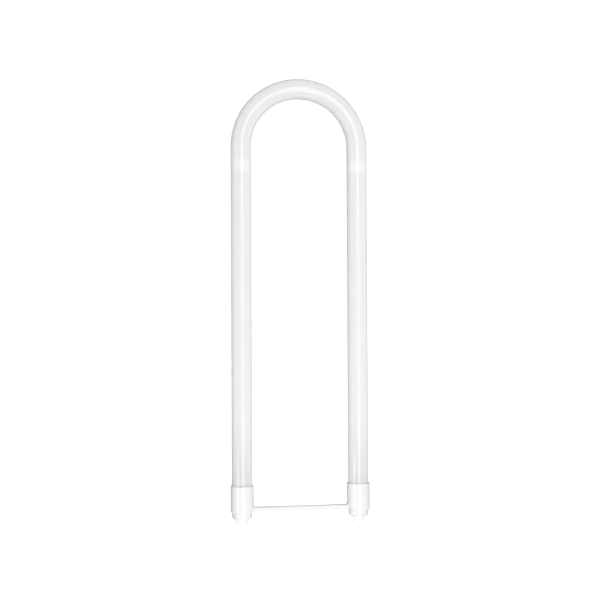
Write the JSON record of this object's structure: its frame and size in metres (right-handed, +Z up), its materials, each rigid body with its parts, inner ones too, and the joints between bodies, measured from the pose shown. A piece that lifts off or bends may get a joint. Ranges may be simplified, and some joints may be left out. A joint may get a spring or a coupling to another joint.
{
  "type": "u-bend led tube",
  "caption": "U-shaped LED lamp: a frosted glass tube bent once, a moulded cap with contact pins on each end, and a bar that holds the legs apart.",
  "frame": {"origin": "middle of the lamp's footprint, on the surface that it lies on", "axes": "+X from the left leg to the right leg, +Y along the legs from the pins towards the bend, +Z up"},
  "size_m": [0.1818, 0.5769, 0.0294],
  "materials": {
    "frosted_glass": "polished outside, frosted white inside",
    "white_polycarbonate": "glossy, as moulded",
    "nickel_plated_brass": "turned and plated",
    "white_masked_aluminium": "white solder mask",
    "phosphor": "matt gel in a white frame",
    "white_nylon": "as moulded",
    "circuit_board": "green solder mask",
    "ceramic": "glazed, with plated ends",
    "black_epoxy": "as moulded",
    "dipped_epoxy": "dipped",
    "ferrite": "sintered",
    "sleeved_aluminium": "shrunk film sleeve",
    "lead_insulation": "extruded"
  },
  "bodies": {
    "root": {"glass_tube": "frosted_glass", "left_end_cap": "white_polycarbonate", "right_end_cap": "white_polycarbonate", "spacer_bar": "white_polycarbonate", "left_outer_pin": "nickel_plated_brass", "left_inner_pin": "nickel_plated_brass", "right_inner_pin": "nickel_plated_brass", "right_outer_pin": "nickel_plated_brass", "left_led_board": "white_masked_aluminium", "right_led_board": "white_masked_aluminium", "left_led_chips": "phosphor", "right_led_chips": "phosphor", "left_board_clip": "white_nylon", "right_board_clip": "white_nylon", "left_driver_board": "circuit_board", "right_driver_board": "circuit_board", "left_fuse": "ceramic", "right_fuse": "ceramic", "left_rectifier": "black_epoxy", "right_rectifier": "black_epoxy", "left_control_chip": "black_epoxy", "right_control_chip": "black_epoxy", "left_film_capacitor": "dipped_epoxy", "right_film_capacitor": "dipped_epoxy", "left_choke": "ferrite", "right_choke": "ferrite", "left_storage_capacitor": "sleeved_aluminium", "right_storage_capacitor": "sleeved_aluminium", "left_pin_leads": "lead_insulation", "right_pin_leads": "lead_insulation", "left_board_leads": "lead_insulation", "right_board_leads": "lead_insulation", "bend_link_wires": "lead_insulation"}
  },
  "joints": []
}
